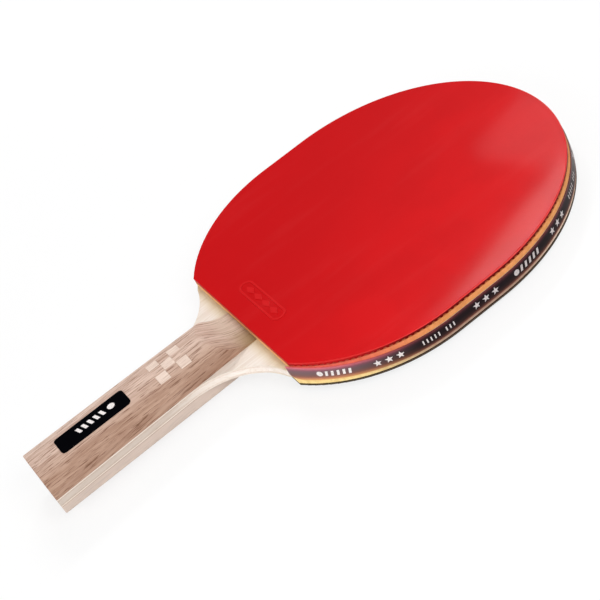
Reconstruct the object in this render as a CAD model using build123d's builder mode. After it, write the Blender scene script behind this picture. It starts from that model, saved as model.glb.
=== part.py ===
"""Table tennis paddle: a five-ply blade, two glued handle slabs, two pimpled rubbers and edge tape.

Millimetres. X runs across the head, Y along the handle towards the tip, and Z up through the front
rubber. The origin is under the middle of the paddle's box, at the height of the lowest point of the
back handle slab, so z = 0 is the plane that the handle lies on.
"""

import os
from math import asin, degrees, sqrt

from build123d import *

# Head outline: an elliptical tip, two straight flanks and two round shoulders down to a straight cut
overall_length = 260.0
head_width = 150.0
tip_depth = 77.2
flank_length = 21.5
rubber_length = 157.5
cut_width = 83.2

# Throat and handle outline
wing_drop = 1.6
neck_radius = 34.0
butt_width = 31.6
throat_width = 25.5

# Blade plies
core_thickness = 2.0
inner_ply_thickness = 0.6
face_ply_thickness = 0.5

# Handle slabs
slab_thickness = 8.5
crown_radius = 30.0
slab_edge_radius = 1.5
butt_edge_radius = 0.6
scoop_length = 20.0
scoop_crest_fall = 4.6
scoop_start_above = 0.5
slab_lip_thickness = 0.4
slab_to_rubber_gap = 0.3

# Nameplate and inlaid squares on the front slab
nameplate_length = 34.0
nameplate_width = 11.0
nameplate_corner_radius = 1.8
nameplate_thickness = 0.5
nameplate_recess = 0.3
nameplate_from_butt = 30.0
inlay_side = 5.0
inlay_pitch = 5.2
inlay_depth = 1.6
inlays_from_butt = 68.0
fit_gap = 0.05

# Rubbers: sponge against the blade, then pimples, then the sheet that meets the ball
front_sponge_thickness = 2.3
front_pimple_height = 0.8
front_sheet_thickness = 1.3
back_sponge_thickness = 3.4
back_pimple_height = 0.5
back_sheet_thickness = 0.9
pimple_diameter = 1.6
pimple_pitch = 2.6
pimple_rows = 2
pimple_margin = 0.3
sheet_edge_radius = 0.35

# Moulded mark on the front sheet
mark_length = 34.0
mark_width = 7.0
mark_line = 0.9
mark_height = 0.2
mark_from_cut = 12.5
mark_lozenge_length = 6.4
mark_lozenge_width = 3.2
mark_lozenges = 4

# Edge tape
tape_width = 6.1
tape_thickness = 0.4
tape_below_front_face = 0.15
tape_high_edge_rise = 2.2
tape_low_edge_rise = 1.3
tape_rise_length = 55.0
tape_right_overrun = 1.2
tape_left_overrun = -1.0
tape_high_corner_radius = 1.2
tape_low_corner_radius = 3.0

# Levels along Z
blade_thickness = core_thickness + 2 * (inner_ply_thickness + face_ply_thickness)
blade_middle_z = slab_thickness + blade_thickness / 2
blade_back_z = slab_thickness
blade_front_z = slab_thickness + blade_thickness
core_back_z = blade_middle_z - core_thickness / 2
core_front_z = blade_middle_z + core_thickness / 2
crown_top_z = blade_front_z + slab_thickness

# Places along Y
butt_y = -overall_length / 2
tip_y = overall_length / 2 - tape_thickness
tip_centre_y = tip_y - tip_depth
flank_end_y = tip_centre_y - flank_length
cut_y = tip_y - rubber_length
wing_y = cut_y - wing_drop
tape_right_end_y = cut_y - tape_right_overrun
tape_left_end_y = cut_y - tape_left_overrun
slab_end_y = cut_y - slab_to_rubber_gap

# Each shoulder arc is tangent to its flank and passes through the end of the cut.
shoulder_in = (head_width - cut_width) / 2
shoulder_drop = flank_end_y - cut_y
shoulder_radius = (shoulder_in**2 + shoulder_drop**2) / (2 * shoulder_in)
shoulder_centre_x = head_width / 2 - shoulder_radius


def handle_half_width(y):
    """Half the width of the handle, which narrows evenly from the butt to the cut."""
    share = (y - butt_y) / (cut_y - butt_y)
    return butt_width / 2 + share * (throat_width - butt_width) / 2


def shoulder_point(y, grow=0.0):
    """The point of the right-hand shoulder's edge, moved outwards by grow, at height y."""
    radius = shoulder_radius + grow
    return Vector(shoulder_centre_x + sqrt(radius**2 - (flank_end_y - y) ** 2), y)


def head_side(start_y, grow=0.0):
    """The right-hand edge of the head from start_y up to the tip, moved outwards by grow."""
    turn = degrees(asin((flank_end_y - start_y) / (shoulder_radius + grow)))
    edge_x = head_width / 2 + grow
    with BuildLine() as side:
        CenterArc((shoulder_centre_x, flank_end_y), shoulder_radius + grow, -turn, turn)
        Line((edge_x, flank_end_y), (edge_x, tip_centre_y))
        EllipticalCenterArc((0, tip_centre_y), edge_x, tip_depth + grow, arc_size=90)
    return side.line


def head_face(start_y, grow=0.0):
    """The head above a straight line at start_y."""
    with BuildSketch() as face:
        with BuildLine():
            add(head_side(start_y, grow))
            Line((0, start_y), shoulder_point(start_y, grow))
            mirror(about=Plane.YZ)
        make_face()
    return face.sketch


def neck_start():
    """Where the neck arc leaves the handle's side, tangent to it, on its way to the wing's end."""
    butt_corner = Vector(butt_width / 2, butt_y)
    throat_corner = Vector(throat_width / 2, cut_y)
    along = (throat_corner - butt_corner).normalized()
    outward = Vector(along.Y, -along.X)
    reach = shoulder_point(wing_y) - butt_corner
    across = reach.dot(outward)
    return butt_corner + along * (reach.dot(along) - sqrt(across * (2 * neck_radius - across)))


def blade_face():
    """The whole blade: handle, concave neck, wings and head."""
    with BuildSketch() as face:
        with BuildLine():
            add(head_side(wing_y))
            neck = neck_start()
            RadiusArc(neck, shoulder_point(wing_y), neck_radius)
            Line((butt_width / 2, butt_y), neck)
            Line((0, butt_y), (butt_width / 2, butt_y))
            mirror(about=Plane.YZ)
        make_face()
    return face.sketch


def save(piece, name):
    """Label a finished piece and write its STEP file."""
    piece.part.label = name
    export_step(piece.part, f"parts/{name}.step")


blade_outline = blade_face()
rubber_outline = head_face(cut_y)
os.makedirs("parts", exist_ok=True)

# ---- Blade plies -------------------------------------------------------------------------------

plies = {
    "back_face_ply": (blade_back_z, face_ply_thickness),
    "back_inner_ply": (blade_back_z + face_ply_thickness, inner_ply_thickness),
    "core_ply": (core_back_z, core_thickness),
    "front_inner_ply": (core_front_z, inner_ply_thickness),
    "front_face_ply": (core_front_z + inner_ply_thickness, face_ply_thickness),
}
for ply_name, (ply_z, ply_thickness) in plies.items():
    with BuildPart() as ply:
        with BuildSketch(Plane.XY.offset(ply_z)):
            add(blade_outline)
        extrude(amount=ply_thickness)
    save(ply, ply_name)

# ---- Front handle slab, with its inlaid squares and nameplate ----------------------------------

with BuildSketch() as slab_outline:
    with BuildLine():
        Polyline(
            (0, butt_y),
            (butt_width / 2, butt_y),
            (handle_half_width(slab_end_y), slab_end_y),
            (0, slab_end_y),
        )
        mirror(about=Plane.YZ)
    make_face()

slab_length = slab_end_y - butt_y
scoop_crest = (slab_end_y - scoop_length, crown_top_z + scoop_start_above)
scoop_lip = (slab_end_y, blade_front_z + slab_lip_thickness)


def crown_rod(radius):
    """A rod along Y, centred on the axis of the front slab's crown."""
    with BuildPart() as rod:
        with BuildSketch(Plane.XZ):
            with Locations((0, crown_top_z - crown_radius)):
                Circle(radius)
        extrude(amount=overall_length, both=True)
    return rod.part


def plain_slab():
    """A front slab without pockets: crowned, eased along its edges and scooped at the throat."""
    with BuildPart() as slab:
        with BuildSketch(Plane.XY.offset(blade_front_z)):
            add(slab_outline.sketch)
        extrude(amount=slab_thickness)
        add(crown_rod(crown_radius), mode=Mode.INTERSECT)
        long_edges = slab.edges().filter_by(lambda edge: edge.length > slab_length / 2)
        fillet(long_edges.sort_by(Axis.Z)[-2:], slab_edge_radius)
        butt_rim = slab.faces().sort_by(Axis.Y)[0].edges().sort_by(Axis.Z)[1:]
        fillet(butt_rim.sort_by(SortBy.LENGTH)[-1], butt_edge_radius)
        with BuildSketch(Plane.YZ.offset(-butt_width)):
            with BuildLine():
                Spline(
                    scoop_crest,
                    scoop_lip,
                    tangents=[(scoop_length, -scoop_crest_fall), (1, 0)],
                )
                Polyline(scoop_lip, (scoop_lip[0], scoop_crest[1]), scoop_crest)
            make_face()
        extrude(amount=2 * butt_width, mode=Mode.SUBTRACT)
    return slab.part


nameplate_place = (0, butt_y + nameplate_from_butt)
inlay_floor_z = crown_top_z - inlay_depth
inlay_places = [(0, butt_y + inlays_from_butt)]
for corner_x in (-inlay_pitch, inlay_pitch):
    for corner_y in (-inlay_pitch, inlay_pitch):
        inlay_places.append((corner_x, butt_y + inlays_from_butt + corner_y))

with BuildPart() as nameplate_pocket:
    with BuildSketch(Plane.XY.offset(blade_front_z)):
        with Locations(nameplate_place):
            RectangleRounded(
                nameplate_width + 2 * fit_gap,
                nameplate_length + 2 * fit_gap,
                nameplate_corner_radius + fit_gap,
            )
    extrude(amount=slab_thickness)
    add(crown_rod(crown_radius - nameplate_recess), mode=Mode.SUBTRACT)

with BuildPart() as front_handle_slab:
    add(plain_slab())
    add(nameplate_pocket.part, mode=Mode.SUBTRACT)
    with BuildSketch(Plane.XY.offset(inlay_floor_z)):
        with Locations(*inlay_places):
            Rectangle(inlay_side + 2 * fit_gap, inlay_side + 2 * fit_gap)
    extrude(amount=inlay_depth, mode=Mode.SUBTRACT)
save(front_handle_slab, "front_handle_slab")

with BuildPart() as handle_inlays:
    with BuildSketch(Plane.XY.offset(inlay_floor_z)):
        with Locations(*inlay_places):
            Rectangle(inlay_side, inlay_side)
    extrude(amount=inlay_depth)
    add(crown_rod(crown_radius), mode=Mode.INTERSECT)
save(handle_inlays, "handle_inlays")

with BuildPart() as nameplate:
    with BuildSketch(Plane.XY.offset(blade_front_z)):
        with Locations(nameplate_place):
            RectangleRounded(nameplate_width, nameplate_length, nameplate_corner_radius)
    extrude(amount=slab_thickness + nameplate_thickness)
    add(crown_rod(crown_radius - nameplate_recess + nameplate_thickness), mode=Mode.INTERSECT)
    add(crown_rod(crown_radius - nameplate_recess), mode=Mode.SUBTRACT)
save(nameplate, "nameplate")

# ---- Back handle slab --------------------------------------------------------------------------

with BuildPart() as back_handle_slab:
    add(mirror(plain_slab(), about=Plane.XY.offset(blade_middle_z)))
save(back_handle_slab, "back_handle_slab")

# ---- Sponges -----------------------------------------------------------------------------------

front_sponge_top_z = blade_front_z + front_sponge_thickness
back_sponge_low_z = blade_back_z - back_sponge_thickness

with BuildPart() as front_sponge:
    with BuildSketch(Plane.XY.offset(blade_front_z)):
        add(rubber_outline)
    extrude(amount=front_sponge_thickness)
save(front_sponge, "front_sponge")

with BuildPart() as back_sponge:
    with BuildSketch(Plane.XY.offset(back_sponge_low_z)):
        add(rubber_outline)
    extrude(amount=back_sponge_thickness)
save(back_sponge, "back_sponge")

# ---- Topsheets ---------------------------------------------------------------------------------


def rubber_inset(amount):
    """The rubber's outline moved inwards."""
    return head_face(cut_y + amount, grow=-amount)


def pimple_air():
    """The air round the outer rows of pimples. Inside them the bed is solid."""
    row_pitch = pimple_pitch * sqrt(3) / 2
    with BuildSketch() as air:
        add(rubber_outline)
        add(rubber_inset(pimple_margin + pimple_rows * row_pitch), mode=Mode.SUBTRACT)
        for row in range(pimple_rows):
            path = rubber_inset(pimple_margin + pimple_diameter / 2 + row * row_pitch).face().outer_wire()
            count = round(path.length / pimple_pitch)
            with Locations(*[path @ ((place + row / 2) / count) for place in range(count)]):
                Circle(pimple_diameter / 2, mode=Mode.SUBTRACT)
    return air.sketch


air_round_pimples = pimple_air()
front_face_z = front_sponge_top_z + front_pimple_height + front_sheet_thickness
back_pimple_low_z = back_sponge_low_z - back_pimple_height
back_face_z = back_pimple_low_z - back_sheet_thickness

mark_lozenge = (
    (-mark_lozenge_length / 2, 0),
    (0, -mark_lozenge_width / 2),
    (mark_lozenge_length / 2, 0),
    (0, mark_lozenge_width / 2),
)
mark_lozenge_pitch = (mark_length - mark_width) / mark_lozenges

with BuildSketch(Plane.XY.offset(front_face_z)) as moulded_mark:
    with Locations((0, cut_y + mark_from_cut)):
        SlotOverall(mark_length, mark_width)
        SlotOverall(mark_length - 2 * mark_line, mark_width - 2 * mark_line, mode=Mode.SUBTRACT)
        with GridLocations(mark_lozenge_pitch, 0, mark_lozenges, 1):
            Polygon(*mark_lozenge)

with BuildPart() as front_topsheet:
    with BuildSketch(Plane.XY.offset(front_sponge_top_z)):
        add(rubber_outline)
    extrude(amount=front_pimple_height + front_sheet_thickness)
    with BuildSketch(Plane.XY.offset(front_sponge_top_z)):
        add(air_round_pimples)
    extrude(amount=front_pimple_height, mode=Mode.SUBTRACT)
    fillet(front_topsheet.faces().sort_by(Axis.Z)[-1].edges(), sheet_edge_radius)
    extrude(moulded_mark.sketch, amount=mark_height)
save(front_topsheet, "front_topsheet")

with BuildPart() as back_topsheet:
    with BuildSketch(Plane.XY.offset(back_face_z)):
        add(rubber_outline)
    extrude(amount=back_sheet_thickness + back_pimple_height)
    with BuildSketch(Plane.XY.offset(back_pimple_low_z)):
        add(air_round_pimples)
    extrude(amount=back_pimple_height, mode=Mode.SUBTRACT)
    fillet(back_topsheet.faces().sort_by(Axis.Z)[0].edges(), sheet_edge_radius)
save(back_topsheet, "back_topsheet")

# ---- Edge tape ---------------------------------------------------------------------------------

tape_high_z = blade_front_z - tape_below_front_face
tape_low_z = tape_high_z - tape_width
past_tip_y = tip_y + 2 * tape_thickness
past_end_y = min(tape_right_end_y, tape_left_end_y) - 2 * tape_thickness


def tape_long_edge(end_y, z, rise):
    """A long edge of the tape seen from the side: level round the tip, and rising to its end."""
    level_y = end_y + tape_rise_length
    with BuildLine() as edge:
        Spline(
            (end_y, z + rise),
            (level_y, z),
            tangents=[(tape_rise_length, -2 * rise), (1, 0)],
        )
        Line((level_y, z), (past_tip_y, z))
    return edge.line


def tape_side_face(end_y):
    """Half of the tape seen from the side, with rounded corners at its end."""
    with BuildSketch() as side:
        with BuildLine():
            add(tape_long_edge(end_y, tape_low_z, tape_low_edge_rise))
            add(tape_long_edge(end_y, tape_high_z, tape_high_edge_rise))
            Line(
                (end_y, tape_low_z + tape_low_edge_rise),
                (end_y, tape_high_z + tape_high_edge_rise),
            )
            Line((past_tip_y, tape_low_z), (past_tip_y, tape_high_z))
        make_face()
        end_corners = side.vertices().group_by(Axis.X)[0].sort_by(Axis.Y)
        fillet(end_corners[0], tape_low_corner_radius)
        fillet(end_corners[-1], tape_high_corner_radius)
    return side.sketch


with BuildPart() as tape_halves:
    with BuildSketch(Plane.YZ):
        add(tape_side_face(tape_right_end_y))
    extrude(amount=head_width)
    with BuildSketch(Plane.YZ):
        add(tape_side_face(tape_left_end_y))
    extrude(amount=-head_width)

with BuildPart() as edge_tape:
    with BuildSketch(Plane.XY.offset(tape_low_z)):
        add(head_face(past_end_y, grow=tape_thickness))
        add(head_face(past_end_y), mode=Mode.SUBTRACT)
    extrude(amount=tape_width + tape_high_edge_rise)
    add(tape_halves.part, mode=Mode.INTERSECT)
save(edge_tape, "edge_tape")
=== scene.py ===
"""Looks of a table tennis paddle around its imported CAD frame. Metres, in the frame of the part."""

import math
from bisect import bisect_right

import bmesh
import bpy
from mathutils import Matrix, Vector


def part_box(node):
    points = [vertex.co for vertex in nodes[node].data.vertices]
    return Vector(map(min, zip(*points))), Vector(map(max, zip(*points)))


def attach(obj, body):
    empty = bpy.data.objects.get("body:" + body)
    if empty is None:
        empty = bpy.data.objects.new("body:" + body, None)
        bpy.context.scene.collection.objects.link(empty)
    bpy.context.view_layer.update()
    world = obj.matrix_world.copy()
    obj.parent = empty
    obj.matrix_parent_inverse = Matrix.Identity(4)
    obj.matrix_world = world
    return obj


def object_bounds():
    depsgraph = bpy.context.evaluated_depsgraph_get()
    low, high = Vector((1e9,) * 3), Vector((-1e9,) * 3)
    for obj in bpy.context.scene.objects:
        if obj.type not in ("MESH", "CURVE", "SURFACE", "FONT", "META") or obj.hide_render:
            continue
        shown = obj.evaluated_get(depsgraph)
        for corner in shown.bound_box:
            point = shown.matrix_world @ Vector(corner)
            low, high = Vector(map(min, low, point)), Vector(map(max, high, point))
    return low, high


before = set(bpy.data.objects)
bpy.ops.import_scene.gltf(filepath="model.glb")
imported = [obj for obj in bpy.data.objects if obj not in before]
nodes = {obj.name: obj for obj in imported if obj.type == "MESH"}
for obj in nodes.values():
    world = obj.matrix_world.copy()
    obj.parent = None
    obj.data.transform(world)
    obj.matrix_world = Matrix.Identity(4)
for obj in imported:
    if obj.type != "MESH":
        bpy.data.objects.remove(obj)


def corners(box):
    """A box as plain lists of numbers."""
    return [[float(value) for value in corner] for corner in box]


cad_box = corners(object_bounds())
MM = 0.001

# ---- Camera ------------------------------------------------------------------------------------

# Fitted to the outlines of the head and the handle in the photograph
CAMERA_PLACE = Vector((0.5496, -0.1259, 0.4369))
CAMERA_TARGET = Vector((0.0071, -0.0032, 0.0106))
CAMERA_ROLL = math.radians(-29.96)
CAMERA_LENS = 102.8

camera_data = bpy.data.cameras.new("camera")
camera_data.lens = CAMERA_LENS
camera_data.sensor_width = 36
camera_data.clip_start = 0.01
camera = bpy.data.objects.new("camera", camera_data)
bpy.context.scene.collection.objects.link(camera)
look = (CAMERA_TARGET - CAMERA_PLACE).to_track_quat("-Z", "Y").to_matrix().to_4x4()
camera.matrix_world = (
    Matrix.Translation(CAMERA_PLACE) @ look @ Matrix.Rotation(CAMERA_ROLL, 4, "Z")
)
bpy.context.scene.camera = camera
bpy.context.scene.view_settings.view_transform = "Standard"

# ---- Node materials ----------------------------------------------------------------------------


class Shader:
    """A Principled material, with short calls for the nodes that colour it."""

    def __init__(self, name, **sockets):
        self.material = bpy.data.materials.new(name)
        self.material.use_nodes = True
        self.tree = self.material.node_tree
        self.principled = self.tree.nodes["Principled BSDF"]
        for socket, value in sockets.items():
            self.set(socket.replace("_", " "), value)
        self.coordinates = self.tree.nodes.new("ShaderNodeTexCoord").outputs["Object"]

    def set(self, socket, value):
        """Puts a constant, or another node's output, into a socket of the shader."""
        self.plug(self.principled.inputs[socket], value)

    def plug(self, socket, value):
        """Puts a constant or an output into a socket."""
        if isinstance(value, bpy.types.NodeSocket):
            self.tree.links.new(value, socket)
        else:
            socket.default_value = value

    def mapped(self, vector, scale, shift=(0, 0, 0)):
        """A vector, scaled along each axis and shifted."""
        mapping = self.tree.nodes.new("ShaderNodeMapping")
        self.plug(mapping.inputs["Vector"], vector)
        mapping.inputs["Scale"].default_value = scale
        mapping.inputs["Location"].default_value = shift
        return mapping.outputs["Vector"]

    def scaled(self, x, y, z, shift=(0, 0, 0)):
        """The frame's coordinates in millimetres, stretched along each axis."""
        return self.mapped(self.coordinates, (x / MM, y / MM, z / MM), shift)

    def even(self, scale):
        """The frame's coordinates in millimetres, stretched alike along every axis."""
        return self.scaled(scale, scale, scale)

    def combined(self, x, y, z):
        """A vector of three values."""
        node = self.tree.nodes.new("ShaderNodeCombineXYZ")
        for socket, value in zip(node.inputs, (x, y, z)):
            self.plug(socket, value)
        return node.outputs["Vector"]

    def noise(self, vector, detail=3.0, roughness=0.5):
        """Soft noise from 0 to 1, with one feature to a unit of its coordinates."""
        texture = self.tree.nodes.new("ShaderNodeTexNoise")
        self.plug(texture.inputs["Vector"], vector)
        texture.inputs["Scale"].default_value = 1.0
        texture.inputs["Detail"].default_value = detail
        texture.inputs["Roughness"].default_value = roughness
        return texture.outputs["Fac"]

    def cells(self, vector):
        """Distance to the nearest of a scatter of points, one to a unit."""
        texture = self.tree.nodes.new("ShaderNodeTexVoronoi")
        self.plug(texture.inputs["Vector"], vector)
        texture.inputs["Scale"].default_value = 1.0
        return texture.outputs["Distance"]

    def axis(self, name):
        """One of the frame's coordinates, in millimetres."""
        split = self.tree.nodes.new("ShaderNodeSeparateXYZ")
        self.plug(split.inputs[0], self.scaled(1, 1, 1))
        return split.outputs[name]

    def normal(self, name):
        """One component of the surface's normal."""
        geometry = self.tree.nodes.new("ShaderNodeNewGeometry")
        split = self.tree.nodes.new("ShaderNodeSeparateXYZ")
        self.plug(split.inputs[0], geometry.outputs["Normal"])
        return split.outputs[name]

    def maths(self, operation, first, second=0.0, third=0.0):
        """One Math node."""
        node = self.tree.nodes.new("ShaderNodeMath")
        node.operation = operation
        for socket, value in zip(node.inputs, (first, second, third)):
            self.plug(socket, value)
        return node.outputs[0]

    def product(self, first, second):
        """Two values multiplied."""
        return self.maths("MULTIPLY", first, second)

    def span(self, value, low, high, to_low=0.0, to_high=1.0, course="SMOOTHSTEP"):
        """A value that runs from to_low to to_high as value goes from low to high."""
        node = self.tree.nodes.new("ShaderNodeMapRange")
        node.interpolation_type = course
        for socket, number in zip(node.inputs, (value, low, high, to_low, to_high)):
            self.plug(socket, number)
        return node.outputs["Result"]

    def ramp(self, value, *stops):
        """A colour ramp through (place, colour) stops."""
        node = self.tree.nodes.new("ShaderNodeValToRGB")
        self.plug(node.inputs["Fac"], value)
        elements = node.color_ramp.elements
        while len(elements) < len(stops):
            elements.new(1.0)
        for element, (place, colour) in zip(elements, stops):
            element.position = place
            element.color = srgb(colour)
        return node.outputs["Color"]

    def mix(self, share, first, second, mode="MIX"):
        """Two colours mixed by share."""
        node = self.tree.nodes.new("ShaderNodeMix")
        node.data_type = "RGBA"
        node.blend_type = mode
        node.clamp_factor = True
        self.plug(node.inputs["Factor"], share)
        # A Mix node has sockets for every kind of value: 6 and 7 take its colours, and 2 gives one.
        self.plug(node.inputs[6], as_colour(first))
        self.plug(node.inputs[7], as_colour(second))
        return node.outputs[2]

    def bump(self, height, distance, strength):
        """A bump of that many millimetres."""
        node = self.tree.nodes.new("ShaderNodeBump")
        node.inputs["Strength"].default_value = strength
        node.inputs["Distance"].default_value = distance * MM
        self.plug(node.inputs["Height"], height)
        return node.outputs["Normal"]


def srgb(colour):
    """A colour written as it appears, from 0 to 255, as the linear RGBA that Blender takes."""
    shares = [value / 255 for value in colour]
    linear = [
        share / 12.92 if share <= 0.04045 else ((share + 0.055) / 1.055) ** 2.4 for share in shares
    ]
    return (*linear, 1)


def as_colour(value):
    """A colour given as 0-255 numbers, or an output as it is."""
    return value if isinstance(value, bpy.types.NodeSocket) else srgb(value)


def dress(shader, *names):
    """Gives a material to CAD nodes."""
    for name in names:
        slots = nodes[name].data.materials
        slots.clear()
        slots.append(shader.material)


# Levels and lengths that the looks follow, in millimetres
cut_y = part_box("front_topsheet")[0].y / MM
blade_back_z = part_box("back_face_ply")[0].z / MM
SANDED_LENGTH = 13
HANDLE_HALF_WIDTH = 14
GREYEST_TO_Y = -78
UNGREYED_FROM_Y = -50
UNDER_BLADE_BLEND = 0.4


def past_cut(shader, start, end, *ends):
    """A run along the paddle between two distances past the straight cut of the rubber."""
    return shader.span(shader.axis("Y"), cut_y + start, cut_y + end, *ends)


# ---- Woods -------------------------------------------------------------------------------------

BAND_WIDTH = 5.0
BAND_STRETCH = 2.0
STREAK_LENGTH = 16  # in widths of the streak
PORE_STRETCH = 1.3
PORE_SOFTNESS = 0.1
GRAIN_RELIEF = 0.05


def wood(
    name,
    dark,
    light,
    pore,
    streak_width,
    contrast=0.14,
    pores=0.55,
    pore_width=0.42,
    pore_share=0.6,
    along="Y",
    depth=0.22,
    seed=0.0,
    finish=None,
):
    """Straight-grained wood: broad bands, fine streaks and dark pores that run along one axis."""
    shader = Shader(name, Roughness=0.62, Specular_IOR_Level=0.2)
    # On an upright side wall the grain is counted up the wall instead of across it.
    on_side = shader.span(shader.maths("ABSOLUTE", shader.normal("X")), 0.6, 0.85)
    rolled = shader.maths("MULTIPLY_ADD", shader.axis("Z"), on_side, shader.axis("X"))
    space = shader.combined(rolled, shader.axis("Y"), shader.axis("Z"))

    def grain(width, stretch=1.0):
        """Coordinates with one feature to a width, drawn out along the grain."""
        length = 1 / (width * STREAK_LENGTH * stretch)
        scale = (1 / width, length) if along == "Y" else (length, 1 / width)
        return shader.mapped(space, (*scale, depth / width), (seed, seed * 1.7, seed * 0.6))

    bands = shader.noise(grain(BAND_WIDTH, BAND_STRETCH), detail=2.0)
    streaks = shader.noise(grain(streak_width), detail=4.0, roughness=0.62)
    pore_grain = grain(streak_width * pore_width, PORE_STRETCH)
    fine = shader.noise(pore_grain, detail=2.0, roughness=0.7)
    tone = shader.maths("MULTIPLY_ADD", bands, 0.3, shader.product(streaks, 0.7))
    colour = shader.mix(shader.span(tone, 0.5 - contrast, 0.5 + contrast), dark, light)
    holes = shader.span(fine, pores, pores + PORE_SOFTNESS)
    colour = shader.mix(shader.product(holes, pore_share), colour, pore)
    shader.set("Base Color", finish(shader, colour) if finish else colour)
    relief = shader.maths("SUBTRACT", streaks, holes)
    shader.set("Normal", shader.bump(relief, GRAIN_RELIEF, 0.5))
    return shader


def handle_stain_and_shade(shader, colour):
    """Painted shade on the front slab's right and in its scoop's right corner by the cut; paler in
    its sanded scoop, and pale on the back slab.
    """

    def over_width(left, right, *ends):
        """A run across the handle, between two shares of its half width."""
        low, high = left * HANDLE_HALF_WIDTH, right * HANDLE_HALF_WIDTH
        return shader.span(shader.axis("X"), low, high, *ends)

    def over_scoop(start, end, *ends):
        """A run along the scoop, between two shares of its sanded length before the cut."""
        return past_cut(shader, -start * SANDED_LENGTH, -end * SANDED_LENGTH, *ends)

    # Painted shade: the front slab darkens towards its right side.
    colour = shader.mix(over_width(-0.4, 0.95), colour, (215, 200, 188), "MULTIPLY")
    blend_z = blade_back_z - UNDER_BLADE_BLEND
    under_blade = shader.span(shader.axis("Z"), blend_z, blade_back_z, 0.75, 0.0)
    colour = shader.mix(under_blade, colour, (224, 208, 197))
    sanded = shader.product(over_scoop(1.0, 0.4, 0.0, 0.42), over_width(-0.5, 0.6, 1.0, 0.25))
    colour = shader.mix(sanded, colour, (206, 190, 168))
    # Painted shade: the scoop's right corner by the cut is darkened to olive brown.
    corner = shader.product(over_scoop(0.8, 0.15), over_width(-0.3, 0.7))
    return shader.mix(shader.product(corner, 0.8), colour, (148, 122, 80))


def under_rubber_shade(shader, colour):
    """Painted shade: the wood beside the cut of the rubber is tinted yellow-olive where the rubber
    shades it.
    """
    return shader.mix(shader.product(past_cut(shader, -7, 0), 0.65), colour, (214, 198, 150))


def greyer_along_handle(shader, colour):
    """The ply edges are greyer along the handle than at the neck."""
    greyed = shader.span(shader.axis("Y"), GREYEST_TO_Y, UNGREYED_FROM_Y, 1.0, 0.0)
    return shader.mix(greyed, colour, (220, 214, 210), "MULTIPLY")


handle_wood = wood(
    "handle_wood",
    dark=(197, 166, 149),
    light=(225, 199, 184),
    pore=(138, 99, 79),
    streak_width=1.1,
    contrast=0.1,
    pores=0.54,
    pore_width=0.5,
    pore_share=0.85,
    depth=0.03,
    finish=handle_stain_and_shade,
)
dress(handle_wood, "front_handle_slab", "back_handle_slab")

inlay_wood = wood(
    "inlay_wood",
    dark=(222, 198, 183),
    light=(240, 220, 206),
    pore=(190, 158, 138),
    streak_width=0.8,
    seed=3.1,
)
dress(inlay_wood, "handle_inlays")

face_ply = wood(
    "ply_face",
    dark=(227, 212, 198),
    light=(239, 229, 219),
    pore=(210, 191, 171),
    streak_width=1.1,
    pores=0.62,
    seed=7.7,
    finish=under_rubber_shade,
)
dress(face_ply, "front_face_ply", "back_face_ply")

core_ply = wood(
    "ply_core",
    dark=(243, 231, 220),
    light=(250, 242, 234),
    pore=(226, 210, 196),
    streak_width=0.8,
    seed=11.3,
    finish=greyer_along_handle,
)
dress(core_ply, "core_ply")

cross_ply = wood(
    "ply_cross",
    dark=(232, 214, 200),
    light=(242, 228, 216),
    pore=(214, 194, 178),
    streak_width=0.6,
    along="X",
    seed=5.9,
    finish=greyer_along_handle,
)
dress(cross_ply, "front_inner_ply", "back_inner_ply")

# ---- Rubbers, sponges and nameplate ------------------------------------------------------------

# The front sheet's box takes in its raised mark, so its face is counted up from the sponge.
PIMPLE_HEIGHT = 0.8
SHEET_THICKNESS = 1.3
front_face_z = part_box("front_sponge")[1].z / MM + PIMPLE_HEIGHT + SHEET_THICKNESS
back_face_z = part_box("back_topsheet")[0].z / MM
WIPED = (236, 120, 118)


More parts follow.
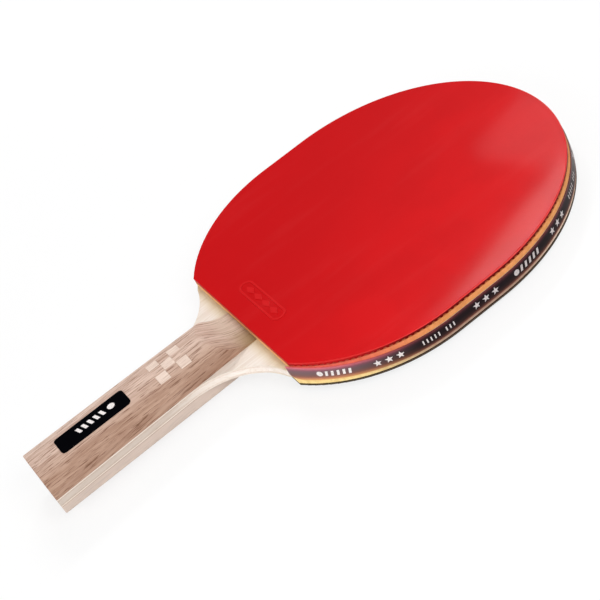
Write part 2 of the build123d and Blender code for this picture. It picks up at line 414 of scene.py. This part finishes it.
def rubber(name, faces, walls, edge_highlight, raised, sheen, sheen_roughness, sheet_z):
    """A tacky moulded sheet with painted light, darker on its left and lighter on its right, with
    clouds and faint wiped streaks. Its rolled edge has a painted highlight and its raised mark is
    paler; its walls take other colours, which on the red sheet are painted shade."""
    shaded_left, deep, lit_right = faces
    shader = Shader(name, Roughness=0.32, Specular_IOR_Level=0.01)
    shader.set("Coat Weight", sheen)
    shader.set("Coat Roughness", sheen_roughness)

    # Painted light: the face is darker on its left and lighter towards its right.
    to_right = shader.maths("MULTIPLY_ADD", shader.axis("Y"), 0.6, shader.axis("X"))
    face = shader.mix(shader.span(to_right, -10, 68), shaded_left, lit_right)
    cloud = shader.noise(shader.even(1 / 24), detail=2.0)
    speck = shader.noise(shader.even(2.2), detail=2.0)
    blend = shader.maths("MULTIPLY_ADD", speck, 0.25, shader.product(cloud, 0.75))
    face = shader.mix(shader.span(blend, 0.35, 0.65, 0.5, 0.0), face, deep)
    wipes = shader.noise(shader.scaled(1 / 9, 1 / 80, 1, (3.1, 0.4, 0)), roughness=0.6)
    face = shader.mix(shader.span(wipes, 0.5, 0.75, 0.0, 0.02), face, WIPED)

    facing = shader.maths("ABSOLUTE", shader.normal("Z"))
    above = shader.maths("SUBTRACT", shader.axis("Z"), sheet_z)
    depth = shader.maths("ABSOLUTE", above)
    # Painted highlight along the rolled edge, fainter near the throat.
    edge_highlight_share = shader.product(
        shader.span(facing, 0.6, 0.985, 1.0, 0.0), past_cut(shader, 10, 110, 0.3, 0.9)
    )
    face = shader.mix(shader.product(edge_highlight_share, shader.span(depth, 0.02, 0.06)), face, edge_highlight)
    face = shader.mix(shader.span(above, 0.03, 0.15, 0.0, 0.32), face, raised)
    # Painted shade: the walls below the face and the pimples' gap take the wall colours, dark red
    # past the throat on the red sheet.
    on_wall = shader.product(
        shader.span(facing, 0.25, 0.6, 1.0, 0.0), shader.span(depth, 0.4, 0.6)
    )
    wall = shader.mix(past_cut(shader, 8, 45), *walls)
    shader.set("Base Color", shader.mix(on_wall, face, wall))
    shader.set("Normal", shader.bump(shader.noise(shader.even(5), detail=1.0), 0.01, 0.35))
    return shader


red = rubber(
    "red_rubber",
    faces=((195, 3, 10), (191, 2, 8), (207, 5, 12)),
    walls=((184, 26, 26), (104, 14, 8)),
    edge_highlight=(235, 82, 78),
    raised=(222, 40, 42),
    sheen=0.064,
    sheen_roughness=0.065,
    sheet_z=front_face_z,
)
dress(red, "front_topsheet")
black = rubber(
    "black_rubber",
    faces=((34, 33, 34), (27, 26, 27), (34, 33, 34)),
    walls=((96, 82, 60), (92, 74, 60)),
    edge_highlight=(62, 58, 54),
    raised=(34, 33, 34),
    sheen=0.2,
    sheen_roughness=0.2,
    sheet_z=back_face_z,
)
dress(black, "back_topsheet")


def sponge(name, lit_cut, throat, middle, tip):
    """Fine open foam: a lighter colour on its straight cut, painted light where light falls on that
    face, and three along its rim up to the tip.
    """
    shader = Shader(name, Roughness=0.85, Specular_IOR_Level=0.1)
    rim = shader.mix(past_cut(shader, 8, 56), throat, middle)
    rim = shader.mix(past_cut(shader, 85, 125), rim, tip)
    body = shader.mix(shader.span(shader.normal("Y"), -0.98, -0.9), lit_cut, rim)
    cloud = shader.noise(shader.even(0.5))
    body = shader.mix(shader.span(cloud, 0.35, 0.75, 0.0, 0.8), body, (232, 222, 212), "MULTIPLY")
    pores = shader.cells(shader.even(3.2))
    body = shader.mix(shader.span(pores, 0.0, 0.32, 0.5, 0.0), body, (214, 196, 180), "MULTIPLY")
    shader.set("Base Color", body)
    shader.set("Normal", shader.bump(pores, 0.06, 0.5))
    return shader


front_foam = sponge(
    "front_sponge",
    lit_cut=(255, 192, 134),
    throat=(228, 104, 88),
    middle=(228, 152, 94),
    tip=(228, 158, 98),
)
dress(front_foam, "front_sponge")
# The back sponge's darker middle colour is painted shade along that part of its rim.
back_foam = sponge(
    "back_sponge",
    lit_cut=(252, 226, 168),
    throat=(255, 226, 156),
    middle=(176, 146, 128),
    tip=(228, 202, 182),
)
dress(back_foam, "back_sponge")

plate = Shader("nameplate_black", Roughness=0.35, Specular_IOR_Level=0.0)
plate.set("Base Color", plate.mix(plate.noise(plate.even(0.8)), (3, 4, 6), (9, 9, 12)))
plate.set("Normal", plate.bump(plate.noise(plate.even(1.4)), 0.01, 0.3))
dress(plate, "nameplate")

# ---- Edge tape ---------------------------------------------------------------------------------

HEAD_MIDDLE_Y = 52 * MM
RAY_LENGTH = 200 * MM
SWEEP_END = 158  # degrees from the tip, to either side
RAYS_PER_DEGREE = 10
DEGREES_PER_HEIGHT = 2
LEVEL_STEP = 0.25 * MM
LEVELS = 16
TAPE_END_MARGIN = 0.2 * MM

tape_low, tape_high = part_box("edge_tape")
tape_node = nodes["edge_tape"]


def wall_hit(angle, z):
    """Where a level ray towards the middle of the head meets the tape's outer wall, if it does."""
    away = Vector((math.sin(angle), math.cos(angle), 0))
    middle = Vector((0, HEAD_MIDDLE_Y, z))
    found, place, _, _ = tape_node.ray_cast(middle + away * RAY_LENGTH, -away)
    return place if found and (place - middle).dot(away) > 0 else None


def tape_run():
    """The outer wall from its right-hand end: [arc length, point, height of the tape's middle]."""
    middle = (tape_low.z + tape_high.z) / 2
    levels = [middle + shift * LEVEL_STEP for shift in range(-LEVELS, LEVELS + 1)]
    last_ray = SWEEP_END * RAYS_PER_DEGREE
    rows = []
    for ray in range(last_ray, -last_ray - 1, -1):
        angle = math.radians(ray / RAYS_PER_DEGREE)
        place = wall_hit(angle, middle)
        if place is None or place.y < tape_low.y + TAPE_END_MARGIN:
            continue
        height = None
        if ray % (DEGREES_PER_HEIGHT * RAYS_PER_DEGREE) == 0:
            hits = [z for z in levels if wall_hit(angle, z) is not None]
            height = (hits[0] + hits[-1]) / 2
        rows.append([0.0, place, height])
    for before, row in zip(rows, rows[1:]):
        row[0] = before[0] + (row[1] - before[1]).length
    known = [(row[0], row[2]) for row in rows if row[2] is not None]
    for row in rows:
        row[2] = blend_between(known, row[0])
    return rows


def blend_between(pairs, place):
    """A value read off a list of (place, value) pairs."""
    for (start, low), (end, high) in zip(pairs, pairs[1:]):
        if start <= place <= end:
            return low + (high - low) * (place - start) / (end - start)
    return pairs[0][1] if place < pairs[0][0] else pairs[-1][1]


run = tape_run()
run_lengths = [row[0] for row in run]


def on_tape(along, up, proud):
    """A point of the tape's wall: metres from its right-hand end, above its middle and off it."""
    last = len(run) - 1
    index = min(max(bisect_right(run_lengths, along) - 1, 0), last - 1)
    (start, near, near_z), (end, far, far_z) = run[index : index + 2]
    share = (along - start) / (end - start)
    place = near.lerp(far, share)
    forward = run[min(index + 4, last)][1] - run[max(index - 3, 0)][1]
    outward = forward.cross(Vector((0, 0, 1))).normalized()
    middle_z = near_z + (far_z - near_z) * share
    return Vector((place.x, place.y, middle_z + up)) + outward * proud


PRINT_SUNK = 0.03 * MM
PRINT_PROUD = 0.05 * MM
STAR_POINTS = 5
STAR_WAIST = 0.42
DISC_SIDES = 24


def solid_prints(name, outlines, place):
    """A piece of thin closed prisms. place(u, v, proud) puts the outlines' points on a surface."""
    mesh = bpy.data.meshes.new(name)
    build = bmesh.new()
    for outline in outlines:
        low, high = [
            [build.verts.new(place(u, v, proud)) for u, v in outline]
            for proud in (-PRINT_SUNK, PRINT_PROUD)
        ]
        build.faces.new(high)
        build.faces.new(low[::-1])
        for index in range(len(outline)):
            after = (index + 1) % len(outline)
            build.faces.new((low[index], low[after], high[after], high[index]))
    bmesh.ops.recalc_face_normals(build, faces=build.faces)
    build.to_mesh(mesh)
    build.free()
    piece = bpy.data.objects.new(name, mesh)
    bpy.context.scene.collection.objects.link(piece)
    return piece


def star(middle, radius):
    """A star with one point up, around a place on the line of print."""
    points = []
    for corner in range(2 * STAR_POINTS):
        reach = radius if corner % 2 == 0 else radius * STAR_WAIST
        turn = math.pi / 2 + corner * math.pi / STAR_POINTS
        points.append((middle + reach * math.cos(turn), reach * math.sin(turn)))
    return points


def bar(middle, width, height, slant=0):
    """An upright bar, or one that leans over by a share of its height."""
    lean = slant * height / 2
    return [
        (middle + side * width / 2 + end * lean, end * height / 2)
        for side, end in ((-1, -1), (1, -1), (1, 1), (-1, 1))
    ]


def disc(middle, radius):
    """A round dot."""
    turns = [index * math.tau / DISC_SIDES for index in range(DISC_SIDES)]
    return [(middle + radius * math.cos(turn), radius * math.sin(turn)) for turn in turns]


# Generic marks along the tape: groups of stars, with bars and thin bars by turns between them
PRINT_PITCH = 44.6 * MM
FIRST_STARS = 42.1 * MM
FIRST_BARS = 19.0 * MM
BARE_END = 12 * MM
STAR_SPACING = 4.7 * MM
STAR_RADIUS = 1.75 * MM
DOT_BEFORE_BARS = 5.6 * MM
DOT_RADIUS = 1.3 * MM
BAR_SPACING = 2.45 * MM
BAR_SIZE = (1.1 * MM, 2.6 * MM)
BAR_SLANT = 0.25
BARS = 5
BARS_BEFORE_MIDDLE = 1.1
THIN_SPACING = 1.75 * MM
THIN_SIZE = (0.55 * MM, 2.0 * MM)
THIN_PLACES = (-4, -3, -2, -1, 0, 2, 3, 4)  # with a gap, as between two words


def group_middles(first):
    """Middles of the groups of print, a pitch apart, that fit before the tape's bare end."""
    count = math.ceil((run_lengths[-1] - BARE_END - first) / PRINT_PITCH)
    return [first + index * PRINT_PITCH for index in range(count)]


stars, bars, thin_bars = [], [], []
for middle in group_middles(FIRST_STARS):
    stars += [star(middle + place * STAR_SPACING, STAR_RADIUS) for place in (-1, 0, 1)]
for index, middle in enumerate(group_middles(FIRST_BARS)):
    if index % 2 == 0:
        bars.append(disc(middle - DOT_BEFORE_BARS, DOT_RADIUS))
        for place in range(BARS):
            along = middle + (place - BARS_BEFORE_MIDDLE) * BAR_SPACING
            bars.append(bar(along, *BAR_SIZE, BAR_SLANT))
    else:
        thin_bars += [bar(middle + place * THIN_SPACING, *THIN_SIZE) for place in THIN_PLACES]

print_ink = Shader("print_ink", Roughness=0.5, Specular_IOR_Level=0.3)
wear = print_ink.noise(print_ink.even(2.5), detail=4.0)
# Painted light: the ink is whiter near the throat and greyer towards the tip.
ink = print_ink.mix(past_cut(print_ink, 10, 90), (240, 234, 232), (202, 194, 194))
ink = print_ink.mix(print_ink.span(wear, 0.4, 0.75, 0.0, 0.9), ink, (212, 204, 202), "MULTIPLY")
print_ink.set("Base Color", ink)
print_ink.set("Normal", print_ink.bump(wear, 0.01, 0.4))

for name, outlines in (
    ("tape_stars", stars),
    ("tape_bars", bars),
    ("tape_thin_bars", thin_bars),
):
    piece = solid_prints(name, outlines, on_tape)
    piece.data.materials.append(print_ink.material)
    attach(piece, "root")

# How far the tape's two edges climb towards its ends, and over what length, in millimetres
TAPE_RISE_LENGTH = 55
TAPE_LOW_RISE = 1.3
TAPE_HIGH_RISE = 2.2

tape = Shader("edge_tape", Roughness=0.3, Specular_IOR_Level=0.06, Specular_Tint=(1, 0.84, 0.95, 1))
# The tape climbs towards its ends, so its colours follow the edges that it has at each place.
tape_end_y = tape_low.y / MM
to_end = tape.span(
    tape.axis("Y"), tape_end_y, tape_end_y + TAPE_RISE_LENGTH, 1, 0, course="LINEAR"
)
lift = tape.product(to_end, to_end)
low_edge = tape.maths("MULTIPLY_ADD", lift, TAPE_LOW_RISE, tape_low.z / MM)
high_edge = tape.maths("MULTIPLY_ADD", lift, TAPE_HIGH_RISE, tape_high.z / MM - TAPE_HIGH_RISE)
across = tape.maths(
    "DIVIDE",
    tape.maths("SUBTRACT", tape.axis("Z"), low_edge),
    tape.maths("SUBTRACT", high_edge, low_edge),
)
weave = tape.noise(tape.scaled(1.6, 1.6, 3.0))
across = tape.maths("MULTIPLY_ADD", tape.maths("SUBTRACT", weave, 0.5), 0.1, across)
# Painted light and shade: the tape's colours are lighter near the throat, where light falls, and
# darker round the tip.
lit_near_throat = tape.ramp(
    across,
    (0.0, (232, 168, 104)),
    (0.12, (196, 132, 96)),
    (0.26, (146, 96, 84)),
    (0.42, (124, 94, 92)),
    (0.62, (120, 96, 100)),
    (0.78, (140, 92, 104)),
    (0.9, (188, 106, 120)),
    (1.0, (222, 118, 128)),
)
shaded_round_tip = tape.ramp(
    across,
    (0.0, (146, 96, 78)),
    (0.08, (92, 56, 48)),
    (0.2, (48, 30, 28)),
    (0.45, (27, 20, 22)),
    (0.7, (29, 20, 23)),
    (0.86, (58, 30, 34)),
    (1.0, (108, 52, 54)),
)
from_throat = tape.span(tape.axis("Y"), tape_end_y + 4, tape_end_y + 48)
tape.set("Base Color", tape.mix(from_throat, lit_near_throat, shaded_round_tip))
tape.set("Normal", tape.bump(tape.noise(tape.even(4)), 0.01, 0.4))
dress(tape, "edge_tape")

# ---- Nameplate print ---------------------------------------------------------------------------

PLATE_DOT = 9.6 * MM
PLATE_DOT_RADIUS = 1.7 * MM
PLATE_FIRST_BAR = 5.2 * MM
PLATE_BAR_SPACING = 2.9 * MM
PLATE_BAR_SIZE = (1.5 * MM, 3.4 * MM)
PLATE_BAR_SLANT = -0.3
PLATE_BARS = 5
RAY_DROP = 10 * MM

plate_low, plate_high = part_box("nameplate")
plate_middle = (plate_low + plate_high) / 2
plate_node = nodes["nameplate"]


def on_plate(along, across_plate, proud):
    """A point of the nameplate's top, metres from its middle towards the head and to the left."""
    start = Vector((plate_middle.x - across_plate, plate_middle.y + along, plate_high.z + RAY_DROP))
    _, place, normal, _ = plate_node.ray_cast(start, Vector((0, 0, -1)))
    return place + normal * proud


marks = [disc(PLATE_DOT, PLATE_DOT_RADIUS)]
for index in range(PLATE_BARS):
    along = PLATE_FIRST_BAR - index * PLATE_BAR_SPACING
    marks.append(bar(along, *PLATE_BAR_SIZE, PLATE_BAR_SLANT))
plate_print = solid_prints("nameplate_print", marks, on_plate)
plate_print.data.materials.append(print_ink.material)
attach(plate_print, "root")

# ---- Floor, world and lamps --------------------------------------------------------------------

FLOOR_SIZE = 6.0
FLOOR_GAP = 0.1 * MM
FLOOR_WHITE = 0.8
FILL = 0.38
REST_Y = -41 * MM

# The paddle rests on its handle and on the tip of its back rubber, so the floor slopes to them.
back_low, back_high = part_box("back_topsheet")
rest_z = cad_box[0][2]
tilt = math.atan2(back_low.z - rest_z, back_high.y - REST_Y)

bpy.ops.mesh.primitive_plane_add(size=FLOOR_SIZE)
floor = bpy.context.object
floor.name = "floor"
floor.matrix_world = (
    Matrix.Translation((0, REST_Y, rest_z - FLOOR_GAP)) @ Matrix.Rotation(tilt, 4, "X")
)
paper = Shader("floor", Roughness=0.9, Specular_IOR_Level=0.0)
dust = paper.noise(paper.even(0.02), detail=2.0)
paper.set("Base Color", paper.mix(dust, (250, 250, 250), (253, 253, 253)))
glow = paper.tree.nodes.new("ShaderNodeEmission")
glow.inputs["Strength"].default_value = 1.0
floor_path = paper.tree.nodes.new("ShaderNodeLightPath")
lighten = paper.tree.nodes.new("ShaderNodeMixShader")
white = paper.product(floor_path.outputs["Is Camera Ray"], FLOOR_WHITE)
paper.plug(lighten.inputs[0], white)
paper.plug(lighten.inputs[1], paper.principled.outputs["BSDF"])
paper.plug(lighten.inputs[2], glow.outputs["Emission"])
paper.plug(paper.tree.nodes["Material Output"].inputs["Surface"], lighten.outputs["Shader"])
floor.data.materials.append(paper.material)

world = bpy.data.worlds.new("studio")
bpy.context.scene.world = world
world.use_nodes = True
world_tree = world.node_tree
background = world_tree.nodes["Background"]
background.inputs["Color"].default_value = (1, 1, 1, 1)
path = world_tree.nodes.new("ShaderNodeLightPath")
# The background is white to the camera and in reflections, and lights the rest at FILL.
seen = path.outputs["Is Camera Ray"]
for ray in ("Is Glossy Ray", "Is Transmission Ray"):
    either = world_tree.nodes.new("ShaderNodeMath")
    either.operation = "MAXIMUM"
    world_tree.links.new(seen, either.inputs[0])
    world_tree.links.new(path.outputs[ray], either.inputs[1])
    seen = either.outputs[0]
level = world_tree.nodes.new("ShaderNodeMapRange")
level.inputs["To Min"].default_value = FILL
world_tree.links.new(seen, level.inputs["Value"])
world_tree.links.new(level.outputs["Result"], background.inputs["Strength"])


def lamp(name, place, size, radiance, target=(0, 0, 0), turn=None):
    """A soft rectangular lamp that faces a point, or straight down, turned about the vertical."""
    data = bpy.data.lights.new(name, "AREA")
    data.shape = "RECTANGLE"
    data.size, data.size_y = size
    data.energy = radiance * math.pi * size[0] * size[1]
    light = bpy.data.objects.new(name, data)
    bpy.context.scene.collection.objects.link(light)
    if turn is None:
        aim = (Vector(target) - Vector(place)).to_track_quat("-Z", "Y").to_matrix().to_4x4()
    else:
        aim = Matrix.Rotation(turn, 4, "Z")
    light.matrix_world = Matrix.Translation(place) @ aim


# Places and sizes are in metres. The strip and the tip lamp hang on the left beyond the tip, where
# the red face mirrors them to the camera.
STRIP_TURN = math.atan2(0.32, 0.95)
lamp("strip", (-0.885, 0.462, 0.9), (0.14, 0.7), 27.0, turn=STRIP_TURN)
lamp("tip", (-1.08, 0.72, 0.9), (0.2, 0.3), 7.5, turn=STRIP_TURN)
lamp("back", (-0.3, 0.75, 0.9), (0.6, 0.6), 1.2)
lamp("near", (0.42, 0.08, 0.42), (0.3, 0.3), 5.6, target=(0, 0.02, 0))
lamp("front", (0.2, -0.9, 0.36), (0.7, 0.7), 2.4)
